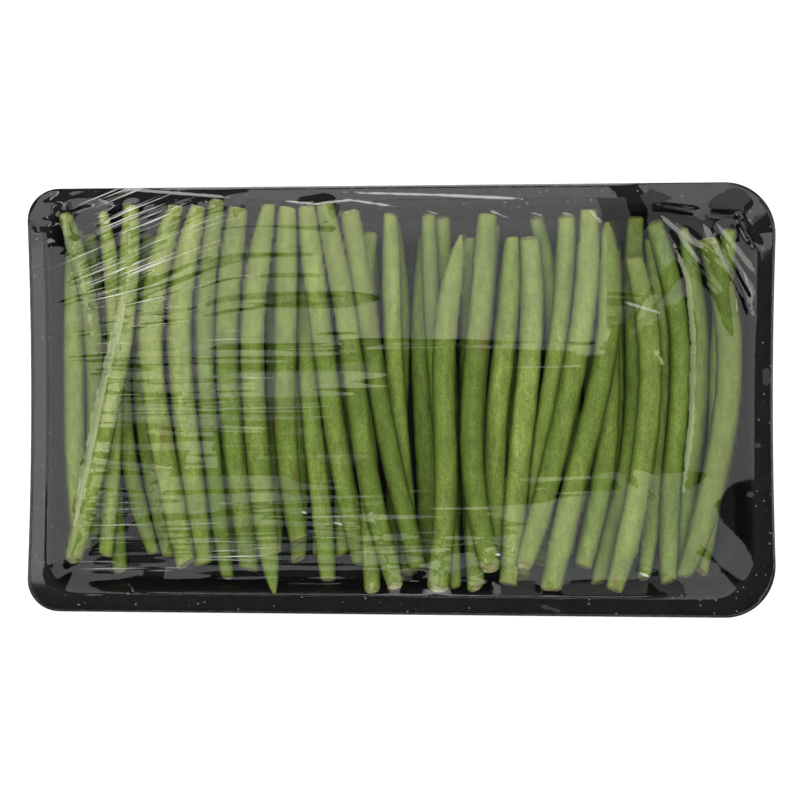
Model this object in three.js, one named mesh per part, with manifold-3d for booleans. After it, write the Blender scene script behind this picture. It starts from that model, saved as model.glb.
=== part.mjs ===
// A bundle of trimmed green beans side by side in a shallow foam tray, overwrapped in clear stretch film.
// Millimetres, +Z up, X along the tray, Y along the beans. The origin is on the resting surface, under
// the middle of the pack.
import * as THREE from "three";
import { mergeVertices } from "three/addons/utils/BufferGeometryUtils.js";
import { ConvexGeometry } from "three/addons/geometries/ConvexGeometry.js";
import Module from "manifold-3d";

const wasm = await Module();
wasm.setup();

// Driving dimensions

const TRAY = {
  length: 224, // along X, over the lip
  width: 128, // along Y, over the lip
  taper: 0.017, // the +X end is wider than the middle by this share, the -X end narrower
  endBow: 1.5, // how far the film's pull bows each short end inwards
  cornerMinusX: 10, // plan radius of the lip's two corners at the -X end
  cornerPlusX: 16,
  cornerShrink: 0.3, // how much a corner's radius loses per millimetre of inset
  cornerLeast: 5,
  height: 20, // from the underside to the top of the lip
  floor: 3, // thickness of the floor
  cornerSteps: 6, // facets per corner
  endSteps: 4, // facets along each bowed end
};
const FILM = {
  thickness: 0.5,
  gap: 0.35, // clear of what it wraps
  seamWidth: 2,
  seamLength: 150,
  seamY: 18,
};
const BEAN = {
  sides: 8,
  gap: 0.3, // between beans, and to the tray's floor
  wallGap: 0.6,
  endLength: 0.2, // share of its length over which an end narrows
};
const SETTLE = {
  balls: 19, // along each bean, closer together towards its ends
  rounds: 11,
  steps: 40, // in each round
  fall: 0.25, // per step at the start, less and less after
  keep: 0.97, // share of a sideways move, tilt or bend that lasts from step to step
  bendGive: 0.5, // how readily a bean bends, next to how readily it rises
  near: 12, // beans with no two balls this close in X never meet
  floorStart: 8, // the height that the lowest beans fall from
  start: 14, // the same for the first of the others
  startRise: 0.6, // each later bean starts this much higher
};
// How freely each layer's beans move sideways, against how freely they rise
const LOOSE = { floor: 1, middle: 0.4, upper: 0.12, top: 0.08 };
// The beans out of sight on the floor: sizes are a least value and a random spread
const HIDDEN = {
  count: 15,
  fromX: -92,
  toX: 92,
  stepX: 0.5,
  seed: 11,
  width: [5.6, 0.8],
  halfLength: [46, 2],
  bow: [-1.25, 2.5],
  lean: [-1, 2],
  shift: [-1, 2],
  endShares: [0.75, 0.8],
};

const BASE_Z = FILM.thickness + FILM.gap; // the tray's underside
const FLOOR_Z = BASE_Z + TRAY.floor;
const RIM_Z = BASE_Z + TRAY.height;

// Finishes

const matte = (color, roughness) => new THREE.MeshStandardMaterial({ color, roughness, metalness: 0 });
const foamFinish = matte(0x1b1b1d, 0.75);
const beanFinish = matte(0x7c9a45, 0.5);
const shadedBeanFinish = matte(0x5f7d36, 0.55);
const filmFinish = new THREE.MeshPhysicalMaterial({
  color: 0xffffff,
  roughness: 0.05,
  metalness: 0,
  transparent: true,
  opacity: 0.2,
});

// The tray's plan: a rounded rectangle, a little wider at +X, its short ends drawn in by the film

function squeeze(x, y) {
  const bow = TRAY.endBow * (1 - (y / (TRAY.width / 2)) ** 2);
  return [x - Math.sign(x) * bow, y * (1 + (TRAY.taper * x) / (TRAY.length / 2))];
}

function unsqueeze(x, y) {
  const straightY = y / (1 + (TRAY.taper * x) / (TRAY.length / 2));
  const bow = TRAY.endBow * (1 - (straightY / (TRAY.width / 2)) ** 2);
  return [x + Math.sign(x) * bow, straightY];
}

// A corner tightens as the outline moves in, but never to a point.
const cornerAt = (inset, x) =>
  Math.max((x < 0 ? TRAY.cornerMinusX : TRAY.cornerPlusX) - TRAY.cornerShrink * inset, TRAY.cornerLeast);

// The outline that lies inset millimetres inside the lip's edge, anticlockwise from the +X end.
function outlineAt(inset) {
  const points = [];
  const halfX = TRAY.length / 2 - inset;
  const halfY = TRAY.width / 2 - inset;
  for (const [signX, signY, start] of [[1, 1, 0], [-1, 1, 90], [-1, -1, 180], [1, -1, 270]]) {
    const r = cornerAt(inset, signX);
    for (let i = 0; i <= TRAY.cornerSteps; i++) {
      const a = THREE.MathUtils.degToRad(start + (90 * i) / TRAY.cornerSteps);
      points.push([signX * (halfX - r) + r * Math.cos(a), signY * (halfY - r) + r * Math.sin(a)]);
    }
    if (start === 90 || start === 270) {
      const [x, y] = points.at(-1);
      const endY = -signY * (halfY - r);
      for (let i = 1; i < TRAY.endSteps; i++) points.push([x, y + ((endY - y) * i) / TRAY.endSteps]);
    }
  }
  return points.map(([x, y]) => squeeze(x, y));
}

// How far a point is inside that outline; negative outside it.
function depthInside(inset, x, y) {
  const [px, py] = unsqueeze(x, y);
  const r = cornerAt(inset, px);
  const qx = Math.abs(px) - (TRAY.length / 2 - inset - r);
  const qy = Math.abs(py) - (TRAY.width / 2 - inset - r);
  return r - Math.hypot(Math.max(qx, 0), Math.max(qy, 0)) - Math.min(Math.max(qx, qy), 0);
}

// The tray's sections as [inset, z], both from the middle of the tray outwards
const UNDERSIDE = [
  [10.5, BASE_Z],
  [7.4, BASE_Z + 0.9],
  [6.2, BASE_Z + 3.5],
  [4.9, BASE_Z + 15],
  [4, BASE_Z + 16.6],
  [0.6, BASE_Z + 16.6],
  [0, BASE_Z + 17.4],
];
const CAVITY = [
  [10.8, FLOOR_Z],
  [9.7, FLOOR_Z + 0.6],
  [9, FLOOR_Z + 2.5],
  [7.6, FLOOR_Z + 15],
  [6.9, RIM_Z - 0.6],
  [5.6, RIM_Z],
  [1.4, RIM_Z],
  [0, RIM_Z - 1.2],
];

// Lathes the profile, then moves each turned ring onto its own rounded outline.
function roundedBody(rings) {
  const outlines = rings.map(([inset]) => outlineAt(inset));
  const turns = outlines[0].length;
  const profile = [
    new THREE.Vector2(0, rings[0][1]),
    ...rings.map(([inset, z]) => new THREE.Vector2(TRAY.length / 2 - inset, z)),
    new THREE.Vector2(0, rings.at(-1)[1]),
  ];
  const geometry = new THREE.LatheGeometry(profile, turns);
  const position = geometry.getAttribute("position");
  for (let turn = 0; turn <= turns; turn++) {
    for (let j = 0; j < profile.length; j++) {
      const [x, y] = outlines[j - 1]?.[turn % turns] ?? [0, 0];
      position.setXYZ(turn * profile.length + j, x, y, profile[j].y);
    }
  }
  return geometry;
}

const trayGeometry = () => roundedBody([...UNDERSIDE, ...CAVITY.toReversed()]);

// Beans
// Each row is one bean, seen from above: its width, the y of its two ends, the x of its centreline at
// five even steps from the first end to the second, and each end's width as a share of the full width.
// A later row lies on the earlier ones where they cross.

const LOW_BEANS = [
  [5.1, 50.5, -46.5, [-83.5, -84.5, -84.5, -82, -75], 0.75, 0.7],
  [5.4, 50, -51.5, [-92, -90, -87.5, -84.5, -82], 0.8, 0.85],
  [5.4, 54, -51.5, [1, 3, 2, 0.5, -0.5], 0.75, 0.8],
  [5.1, 55.5, -56, [8, 9, 11, 13.5, 16], 0.8, 0.7],
  [5.4, 55, -50.5, [13.5, 15, 17, 18.5, 19], 0.9, 0.9],
  [5.4, 53, -56, [30.5, 28, 26, 25.5, 26.5], 0.8, 0.95],
  [5.4, 51, -52, [97, 95, 94, 93.5, 89.5], 0.8, 0.85],
];
const MIDDLE_BEANS = [
  [6.1, 51, -44, [-97.5, -97.5, -97, -96, -93.5], 0.7, 0.8],
  [5.1, 56, -47, [-89.5, -86.5, -87, -88, -90.5], 0.5, 0.85],
  [5.7, 55.5, -41.5, [-99, -92.5, -90.5, -91, -92], 0.7, 0.8],
  [5.7, 50, -47.5, [-77, -79, -79, -75.5, -70], 0.8, 0.8],
  [6, 51, -54, [-27.5, -28.5, -27.5, -24.5, -22], 0.8, 0.75],
  [5.4, 50.5, -57, [-8.5, -10.5, -9.5, -8.5, -7.5], 0.9, 0.9],
  [5.7, 55.5, -52.5, [-3.5, -3, -2, 0.5, 2], 0.7, 0.9],
  [5.4, 49, -50, [20.5, 19.5, 19, 19, 20], 0.7, 0.8],
  [5.7, 55, -49.5, [39.5, 44, 43, 40.5, 38], 0.75, 0.8],
  [5.7, 55, -55, [69.5, 67.5, 67.5, 62.5, 54.5], 0.8, 0.8],
  [5.2, 49, -54, [73, 76.5, 77, 74.5, 71], 0.8, 0.8],
  [6.8, 49, -50, [6.5, 5, 5.5, 7, 7.5], 0.85, 0.8],
];
const UPPER_BEANS = [
  [5.7, 59.5, -53.5, [-55, -58.5, -58.5, -56, -52.5], 0.8, 0.7],
  [7.5, 57.5, -49.5, [-60.5, -66, -65.5, -63, -59.5], 0.6, 0.8],
  [7.3, 57.5, -49, [-66.5, -73.5, -73.5, -69.5, -64], 0.6, 0.85],
  [7.1, 57, -51, [-49, -52, -52, -49, -46], 0.75, 0.85],
  [6.7, 57, -42.5, [-34, -34.5, -35, -34.5, -31], 0.75, 0.8],
  [7.3, 58, -57.5, [-39.5, -44, -44, -41.5, -38], 0.55, 0.35],
  [6.7, 57.5, -49.5, [-28, -25, -21.5, -17.5, -12], 0.75, 0.8],
  [6.5, 56, -50.5, [-16, -11.5, -7.5, -2, 4.5], 0.9, 0.9],
  [6.8, 49, -56, [17.5, 13, 12.5, 13, 10.5], 0.25, 0.95],
  [7, 55.5, -50, [25.5, 23.5, 21, 21, 26], 0.8, 0.9],
  [6.8, 49, -48, [33, 32, 29.5, 29, 31], 0.6, 0.9],
  [6.8, 48.5, -55, [38, 39, 36.5, 34.5, 32], 0.85, 0.8],
  [6.5, 55, -53.5, [49, 47.5, 43, 38.5, 33.5], 0.85, 0.95],
  [6.5, 50, -50, [60, 62, 63, 61, 55.5], 0.8, 0.85],
  [6.8, 42.5, -56.5, [69, 74, 73, 69.5, 63], 0.75, 0.75],
  [6, 52, -52.5, [85, 89.5, 89.5, 86.5, 83.5], 0.5, 0.7],
  [6.5, 53.5, -55, [75.5, 82.5, 83, 80.5, 80], 0.8, 0.8],
  [7.4, 48, -53, [91, 97.5, 96.5, 92.5, 84.5], 0.8, 0.6],
];
const TOP_BEANS = [
  [6.2, 58, -48, [-80.5, -81.5, -85.5, -91.5, -98], 0.75, 0.8],
  [6.4, 58, -55, [-23, -17.5, -13.5, -9.5, -2], 0.8, 0.75],
  [6.7, 56.5, -49.5, [56, 55, 50, 44, 36], 0.7, 0.75],
  [7.4, 53, -56.5, [60.5, 61.5, 57, 50, 44], 0.4, 0.9],
];

function radiusAt(bean, t) {
  const fromEnd = Math.min(t, 1 - t);
  if (fromEnd >= BEAN.endLength) return bean.radius;
  const share = t < 0.5 ? bean.startShare : bean.endShare;
  const ease = 1 - (1 - fromEnd / BEAN.endLength) ** 2;
  return bean.radius * (share + (1 - share) * ease);
}

// A bean is a row of balls along its centreline. It keeps its plan shape, and moves by a sideways shift
// and lean, and by a height, tilt and bend.
function newBean([width, startY, endY, xs, startShare, endShare], height, loose) {
  const plan = new THREE.CatmullRomCurve3(
    xs.map((x, i) => new THREE.Vector3(x, startY + ((endY - startY) * i) / (xs.length - 1), height)),
  );
  const pose = { height, shift: 0, lean: 0, tilt: 0, bend: 0 };
  const bean = { radius: width / 2, startShare, endShare, loose, ...pose };
  bean.balls = Array.from({ length: SETTLE.balls }, (_, i) => {
    const s = -Math.cos((Math.PI * i) / (SETTLE.balls - 1));
    const t = (s + 1) / 2;
    const point = plan.getPoint(t);
    return { s, point, homeX: point.x, radius: radiusAt(bean, t), lowest: 0 };
  });
  return bean;
}

function placeBalls(bean) {
  for (const ball of bean.balls) {
    ball.point.x = ball.homeX + bean.shift + bean.lean * ball.s;
    ball.point.z = bean.height + bean.tilt * ball.s + bean.bend * (ball.s ** 2 - 1 / 3);
  }
}

// How far a bean gives way, at s along it, to a unit push along the normal.
const give = (bean, s, normal) =>
  normal.x ** 2 * bean.loose * (1 + s ** 2) +
  normal.z ** 2 * (1 + 3 * s ** 2 + SETTLE.bendGive * (s ** 2 - 1 / 3) ** 2);

function pushBean(bean, s, normal, amount) {
  bean.shift += amount * normal.x * bean.loose;
  bean.lean += amount * normal.x * bean.loose * s;
  bean.height += amount * normal.z;
  bean.tilt += amount * normal.z * 3 * s;
  bean.bend += amount * normal.z * SETTLE.bendGive * (s ** 2 - 1 / 3);
}

// Parts two beans wherever a ball of one is in a stretch of the other.
function partPair(a, b) {
  const span = new THREE.Vector3();
  const normal = new THREE.Vector3();
  for (const ball of a.balls) {
    for (let i = 1; i < b.balls.length; i++) {
      const [p, q] = [b.balls[i - 1], b.balls[i]];
      if (ball.point.y > p.point.y + ball.radius || ball.point.y < q.point.y - ball.radius) continue;
      span.subVectors(q.point, p.point);
      normal.subVectors(ball.point, p.point);
      const part = THREE.MathUtils.clamp(normal.dot(span) / span.lengthSq(), 0, 1);
      normal.addScaledVector(span, -part);
      const reach = ball.radius + THREE.MathUtils.lerp(p.radius, q.radius, part) + BEAN.gap;
      const overlap = reach - normal.length();
      if (overlap <= 0) continue;
      normal.normalize();
      const s = THREE.MathUtils.lerp(p.s, q.s, part);
      const amount = overlap / (give(a, ball.s, normal) + give(b, s, normal));
      pushBean(a, ball.s, normal, amount);
      pushBean(b, s, normal, -amount);
      placeBalls(a);
      placeBalls(b);
    }
  }
}

const UP = new THREE.Vector3(0, 0, 1);

function liftOffTray(bean) {
  for (const ball of bean.balls) {
    const overlap = ball.lowest - ball.point.z;
    if (overlap <= 0) continue;
    pushBean(bean, ball.s, UP, overlap / give(bean, ball.s, UP));
    placeBalls(bean);
  }
}

// The height of the cavity's surface under (x, y), kept a gap inside its walls.
function cavityHeight(x, y) {
  let below = depthInside(CAVITY[0][0], x, y) - BEAN.wallGap;
  let belowZ = FLOOR_Z;
  for (const [inset, z] of CAVITY) {
    if (below >= 0) return belowZ;
    const depth = depthInside(inset, x, y) - BEAN.wallGap;
    if (depth >= 0) return THREE.MathUtils.lerp(belowZ, z, below / (below - depth));
    [below, belowZ] = [depth, z];
  }
  return RIM_Z;
}

// The lowest height at which a bean's round section over (x, y) clears the cavity.
function lowestOver({ point, radius }) {
  const heights = [-90, -45, 0, 45, 90].map((angle) => {
    const a = THREE.MathUtils.degToRad(angle);
    return cavityHeight(point.x + radius * Math.sin(a), point.y) + radius * Math.cos(a);
  });
  return Math.max(...heights) + BEAN.gap;
}

// Lets all the beans fall together, pushing each other apart and drawn back to their own places.
function settle(beans) {
  const pairs = beans.flatMap((a, i) => beans.slice(i + 1).map((b) => [a, b])).filter(([a, b]) =>
    a.balls.some((ball, i) => Math.abs(ball.homeX - b.balls[i].homeX) < SETTLE.near));
  for (let round = 0; round < SETTLE.rounds; round++) {
    const last = round === SETTLE.rounds - 1;
    for (const ball of beans.flatMap((bean) => bean.balls)) ball.lowest = lowestOver(ball);
    for (let step = 0; step < SETTLE.steps; step++) {
      if (!last) beans.forEach((bean) => fall(bean, SETTLE.fall * (1 - round / SETTLE.rounds)));
      for (const [a, b] of pairs) {
        partPair(a, b);
        partPair(b, a);
      }
      beans.forEach(liftOffTray);
    }
  }
}

function fall(bean, drop) {
  bean.height -= drop;
  bean.shift *= SETTLE.keep;
  bean.lean *= SETTLE.keep;
  bean.bend *= SETTLE.keep;
  bean.tilt *= SETTLE.keep;
  placeBalls(bean);
}

// Straight short beans that fill the floor, under the ones that show.
function floorBeans(shown) {
  const random = seededRandom(HIDDEN.seed);
  const pick = ([least, spread]) => least + spread * random();
  const low = [...shown];
  for (let x = HIDDEN.fromX; x <= HIDDEN.toX; x += HIDDEN.stepX) {
    if (low.length === shown.length + HIDDEN.count) break;
    const [half, shift] = [pick(HIDDEN.halfLength), pick(HIDDEN.shift)];
    const [bow, lean] = [pick(HIDDEN.bow), pick(HIDDEN.lean)];
    const xs = [-1, -0.5, 0, 0.5, 1].map((s) => x + bow * (1 - s * s) + lean * s);
    const row = [pick(HIDDEN.width), half + shift, -half + shift, xs, ...HIDDEN.endShares];
    const bean = newBean(row, SETTLE.floorStart, LOOSE.floor);
    const crowded = low.some((other) =>
      bean.balls.some((ball, i) => Math.abs(ball.homeX - other.balls[i].homeX) < bean.radius + other.radius));
    if (!crowded) low.push(bean);
  }
  return low;
}

function seededRandom(seed) {
  let state = seed;
  return () => {
    state = (Math.imul(state, 1664525) + 1013904223) >>> 0;
    return state / 2 ** 32;
  };
}

// Shares of a bean's length where its mesh has a ring
const RING_STEPS = [0, 0.05, 0.12, 0.2, 0.35, 0.5, 0.65, 0.8, 0.88, 0.95, 1];
// and where the film's skin touches it, from just past one end to just past the other
const SKIN_STEPS = [-0.005, ...RING_STEPS.slice(1, -1), 1.005];
const SKIN_ANGLES = [-60, -30, 0, 30, 60];

function pointOn(bean, t) {
  const s = 2 * THREE.MathUtils.clamp(t, 0, 1) - 1;
  const i = Math.max(bean.balls.findIndex((ball) => ball.s >= s), 1);
  const [a, b] = [bean.balls[i - 1], bean.balls[i]];
  return a.point.clone().lerp(b.point, (s - a.s) / (b.s - a.s));
}

// The level direction across a bean at t, and the one square to that and to the bean.
function frameOn(bean, t) {
  const along = pointOn(bean, t + 0.02).sub(pointOn(bean, t - 0.02)).normalize();
  const side = new THREE.Vector3().crossVectors(along, UP).normalize();
  return { side, up: new THREE.Vector3().crossVectors(side, along) };
}

// Lathes the bean upright, then bends it along its centreline.
function beanGeometry(bean) {
  const profile = [
    new THREE.Vector2(0, 0),
    ...RING_STEPS.map((t) => new THREE.Vector2(radiusAt(bean, t), t)),
    new THREE.Vector2(0, 1),
  ];
  const geometry = new THREE.LatheGeometry(profile, BEAN.sides);
  const position = geometry.getAttribute("position");
  for (let i = 0; i < position.count; i++) {
    const t = position.getY(i);
    const { side, up } = frameOn(bean, t);
    const place = pointOn(bean, t).addScaledVector(side, position.getX(i));
    place.addScaledVector(up, position.getZ(i));
    position.setXYZ(i, place.x, place.y, place.z);
  }
  return geometry;
}

// Film
// Pulled tight, it is the smallest convex skin round the tray and the beans.

function solidOf(geometry) {
  const bare = geometry.index ? geometry.toNonIndexed() : geometry.clone();
  bare.deleteAttribute("normal");
  bare.deleteAttribute("uv");
  const merged = mergeVertices(bare, 1e-3);
  return new wasm.Manifold(
    new wasm.Mesh({
      numProp: 3,
      vertProperties: merged.getAttribute("position").array,
      triVerts: new Uint32Array(merged.index.array),
    }),
  );
}

function geometryOf(solid) {
  const { vertProperties, triVerts } = solid.getMesh();
  const geometry = new THREE.BufferGeometry();
  geometry.setAttribute("position", new THREE.BufferAttribute(vertProperties, 3));
  geometry.setIndex(new THREE.BufferAttribute(triVerts, 1));
  return geometry;
}

// The skin that keeps a distance from everything inside it.
function skinAround(beans, distance) {
  const points = [];
  for (const [inset, z] of [...UNDERSIDE, ...CAVITY.slice(-2)]) {
    for (const [x, y] of outlineAt(inset - distance))
      points.push(new THREE.Vector3(x, y, z - distance), new THREE.Vector3(x, y, z + distance));
  }
  for (const bean of beans) {
    for (const t of SKIN_STEPS) {
      const { side, up } = frameOn(bean, t);
      const reach = radiusAt(bean, THREE.MathUtils.clamp(t, 0, 1)) + distance;
      for (const angle of SKIN_ANGLES) {
        const a = THREE.MathUtils.degToRad(angle);
        const place = pointOn(bean, t).addScaledVector(up, reach * Math.cos(a));
        points.push(place.addScaledVector(side, reach * Math.sin(a)));
      }
    }
  }
  return solidOf(new ConvexGeometry(points));
}

// The skin's underside stays open along the seam where the film's two edges meet.
function filmGeometry(beans) {
  const seam = new THREE.BoxGeometry(FILM.seamLength, FILM.seamWidth, 4 * FILM.thickness);
  seam.translate(0, FILM.seamY, 0);
  const outside = skinAround(beans, FILM.gap + FILM.thickness);
  return geometryOf(outside.subtract(skinAround(beans, FILM.gap)).subtract(solidOf(seam)));
}

// Assembly

const low = floorBeans(LOW_BEANS.map((row) => newBean(row, SETTLE.floorStart, LOOSE.floor)));
const laid = [
  ...MIDDLE_BEANS.map((row) => [row, LOOSE.middle]),
  ...UPPER_BEANS.map((row) => [row, LOOSE.upper]),
  ...TOP_BEANS.map((row) => [row, LOOSE.top]),
];
const beans = [
  ...low,
  ...laid.map(([row, loose], i) => newBean(row, SETTLE.start + SETTLE.startRise * i, loose)),
];
settle(beans);

const pack = new THREE.Group();

function addPiece(name, geometry, material) {
  const mesh = new THREE.Mesh(geometry, material);
  mesh.name = name;
  pack.add(mesh);
}

addPiece("foam_tray", trayGeometry(), foamFinish);
beans.forEach((bean, i) => {
  const name = `bean_${String(i + 1).padStart(2, "0")}`;
  addPiece(name, beanGeometry(bean), i < low.length ? shadedBeanFinish : beanFinish);
});
addPiece("stretch_film", filmGeometry(beans), filmFinish);

export default pack;
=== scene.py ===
# Green beans in a black foam tray, wrapped in clear stretch film. Metres, +Z up, X along the tray.
import math
import random

import bmesh
import bpy
import numpy as np
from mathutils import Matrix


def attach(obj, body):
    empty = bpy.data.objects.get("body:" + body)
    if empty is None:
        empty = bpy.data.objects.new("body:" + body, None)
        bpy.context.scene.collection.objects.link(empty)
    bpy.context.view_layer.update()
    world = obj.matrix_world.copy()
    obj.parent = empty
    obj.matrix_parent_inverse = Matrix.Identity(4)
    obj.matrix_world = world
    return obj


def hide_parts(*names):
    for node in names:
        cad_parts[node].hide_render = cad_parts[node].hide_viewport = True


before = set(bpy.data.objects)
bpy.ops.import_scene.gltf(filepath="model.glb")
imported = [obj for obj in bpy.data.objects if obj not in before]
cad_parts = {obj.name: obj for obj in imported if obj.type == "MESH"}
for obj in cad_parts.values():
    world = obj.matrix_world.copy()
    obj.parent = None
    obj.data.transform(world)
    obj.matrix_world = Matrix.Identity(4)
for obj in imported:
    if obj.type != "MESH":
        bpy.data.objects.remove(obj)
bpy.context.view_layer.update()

mm = 0.001
scene = bpy.context.scene
scene.view_settings.view_transform = "Standard"


def linearColour(hexCode):
    channels = [int(hexCode[i:i + 2], 16) / 255 for i in (1, 3, 5)]
    return [c / 12.92 if c <= 0.04045 else ((c + 0.055) / 1.055) ** 2.4 for c in channels] + [1.0]


def newMaterial(name):
    material = bpy.data.materials.new(name)
    material.use_nodes = True
    material.node_tree.nodes.clear()
    return material, material.node_tree


# Settings with a capital or a number go to the node's sockets, the others to the node itself. A colour ramp
# takes its places and colours as "stops".
def addNode(tree, kind, settings=None, links=None):
    node = tree.nodes.new("ShaderNode" + kind)
    for key, value in (settings or {}).items():
        if key == "stops":
            while len(node.color_ramp.elements) < len(value):
                node.color_ramp.elements.new(0.5)
            for element, (place, colour) in zip(node.color_ramp.elements, value):
                element.position = place
                element.color = linearColour(colour)
        elif isinstance(key, int) or key[0].isupper():
            node.inputs[key].default_value = value
        else:
            setattr(node, key, value)
    for key, source in (links or {}).items():
        tree.links.new(source, node.inputs[key])
    return node


def keepMesh(name, bm, materials):
    mesh = bpy.data.meshes.new(name)
    bm.to_mesh(mesh)
    bm.free()
    mesh.shade_smooth()
    piece = bpy.data.objects.new(name, mesh)
    scene.collection.objects.link(piece)
    for material in materials:
        mesh.materials.append(material)
    return piece


# ---- camera, lights and floor
studio = {
    "cameraHeight": 1.0,
    "cameraX": -0.6 * mm,
    "viewWidth": 0.238,  # seen across the height of the tray's lip
    "lipHeight": 0.021,
    "floorSize": 6.0,
    "worldStrength": 0.04,
}


def makeCamera():
    data = bpy.data.cameras.new("camera")
    distance = studio["cameraHeight"] - studio["lipHeight"]
    data.lens = data.sensor_width * distance / studio["viewWidth"]
    data.clip_start = 0.01
    data.clip_end = 20
    camera = bpy.data.objects.new("camera", data)
    camera.location = (studio["cameraX"], 0, studio["cameraHeight"])
    scene.collection.objects.link(camera)
    scene.camera = camera


# name: centre, size, radiance. All hang level, and the gaps between them leave parts of the film clear. The
# fill hangs above the others, because two lights in one plane hide each other.
softboxes = {
    "boxBack": ((-0.23, 0.59, 1.2), (1.04, 0.98), 1.46),
    "boxBackFar": ((0.1, 1.55, 1.2), (0.7, 0.92), 1.6),
    "boxBackRight": ((0.42, 0.64, 1.2), (0.26, 0.96), 0.6),
    "boxFront": ((0.4, -0.38, 1.2), (0.8, 0.44), 1.15),
    "boxFrontLeft": ((-0.35, -0.46, 1.2), (0.7, 0.32), 1.1),
    "boxFrontLow": ((0.45, -0.86, 1.2), (0.9, 0.5), 0.45),
    "boxLeft": ((-0.54, 0.045, 1.2), (0.36, 0.19), 1.0),
    "boxLeftFar": ((-0.95, 0, 1.2), (0.66, 0.9), 1.3),
    "boxLip": ((-0.3, 0.04, 1.2), (0.2, 0.32), 1.9),
    "boxLeftNear": ((-0.13, 0.035, 1.2), (0.18, 0.13), 0.5),
    "boxRight": ((0.9, 0.15, 1.2), (0.56, 0.7), 1.05),
    "keyBackLeft": ((-0.8, 1.15, 1.2), (0.8, 0.2), 4),
    "keyBackRight": ((1.1, 0.75, 1.2), (0.4, 0.3), 2),
    "keyLeft": ((-1.6, 0.1, 1.2), (0.3, 0.8), 3),
    "keyRight": ((1.35, 0.1, 1.2), (0.3, 0.6), 3.4),
    "keyFront": ((-0.1, -1.2, 1.2), (0.7, 0.15), 1.7),
    "fill": ((0, 0.1, 1.25), (1.1, 1.3), 3.32),
}


def makeLights():
    for name, (centre, size, radiance) in softboxes.items():
        data = bpy.data.lights.new(name, "AREA")
        data.shape = "RECTANGLE"
        data.size, data.size_y = size
        data.energy = radiance * math.pi * size[0] * size[1]
        light = bpy.data.objects.new(name, data)
        light.location = centre
        light.visible_glossy = name != "fill"  # the fill lights the beans without showing in the film
        scene.collection.objects.link(light)
    world = bpy.data.worlds.new("studio")
    world.use_nodes = True
    background = world.node_tree.nodes["Background"]
    background.inputs["Color"].default_value = linearColour("#f4f6f8")
    background.inputs["Strength"].default_value = studio["worldStrength"]
    scene.world = world


def makeFloor():
    # a light table of white acrylic, so the pack throws next to no shadow
    material, tree = newMaterial("whiteAcrylic")
    shader = addNode(tree, "BsdfPrincipled", {
        "Base Color": linearColour("#f7f7f7"), "Roughness": 0.9,
        "Emission Color": linearColour("#ffffff"), "Emission Strength": 0.6})
    addNode(tree, "OutputMaterial", {}, {"Surface": shader.outputs[0]})
    bm = bmesh.new()
    bmesh.ops.create_grid(bm, x_segments=1, y_segments=1, size=studio["floorSize"] / 2)
    floor = keepMesh("studioFloor", bm, [material])


makeCamera()
makeLights()
makeFloor()
print("studio set")

# ---- plan of the tray, as in the solids
plan = {
    "length": 224 * mm,
    "width": 128 * mm,
    "taper": 0.017,
    "endBow": 1.5 * mm,
    "bowFade": 20 * mm,  # the bow is in full from this far inside the ends, and fades towards the middle
    "corners": (10 * mm, 16 * mm),  # at -X and at +X
    "cornerShrink": 0.3,
    "cornerLeast": 5 * mm,
}


# Takes points of a sharp rectangle, inset from the lip's edge, to the rounded and drawn-in outline.
def planPoints(x, y, inset):
    halfX = plan["length"] / 2 - inset
    halfY = plan["width"] / 2 - inset
    corner = np.where(x < 0, *plan["corners"]) - plan["cornerShrink"] * inset
    corner = np.maximum(corner, plan["cornerLeast"])
    corner = np.minimum(corner, np.minimum(halfX, halfY))
    legX = np.abs(x) - (halfX - corner)
    legY = np.abs(y) - (halfY - corner)
    inCorner = (legX > 0) & (legY > 0)
    # the two legs of the sharp corner share out the quarter turn
    angle = np.where(legX >= legY, legY / corner, 2 - legX / corner) * math.pi / 4
    roundX = np.sign(x) * (halfX - corner + corner * np.cos(angle))
    roundY = np.sign(y) * (halfY - corner + corner * np.sin(angle))
    x, y = np.where(inCorner, roundX, x), np.where(inCorner, roundY, y)
    bow = plan["endBow"] * (1 - (y / (plan["width"] / 2)) ** 2)
    bow = bow * np.clip(np.abs(x) / (plan["length"] / 2 - plan["bowFade"]), 0, 1) ** 2
    return x - np.sign(x) * bow, y * (1 + plan["taper"] * x / (plan["length"] / 2))


# ---- beans
podShape = {
    "sides": 22,
    "rings": 46,
    "hiddenSides": 12,
    "hiddenRings": 16,
    "ringGap": 1.6 * mm,  # least step along Y between the rings of a solid bean
    "rimBevel": (0.5 * mm, 1.4 * mm),
    "bulge": 0.02,
    "seedPitch": 11 * mm,
    "seamLift": 0.02,
    "seamWidth": 0.16,  # radians
    "oval": 0.035,
    "tipLength": 5 * mm,  # over which a cut slants and a grown tip narrows
    "tipNarrows": 0.55,
    "smoothEnds": 8 * mm,  # no bulges or seams nearer to an end
    "cutRim": 0.4,  # the width of the rim round a dished cut, as a share of the pod's radius
    "cutDish": 0.12 * mm,
    "slants": ((0, 0.3), (0.15, 0.7)),  # slopes of the cuts at the +Y and the -Y ends, which face up
    "tipShare": 0.5,  # an end under this share of the pod's thickness is a grown tip, not a cut
    "shownLow": 7,  # beans with higher numbers lie out of sight, as far as firstShown
    "firstShown": 23,
}


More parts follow.
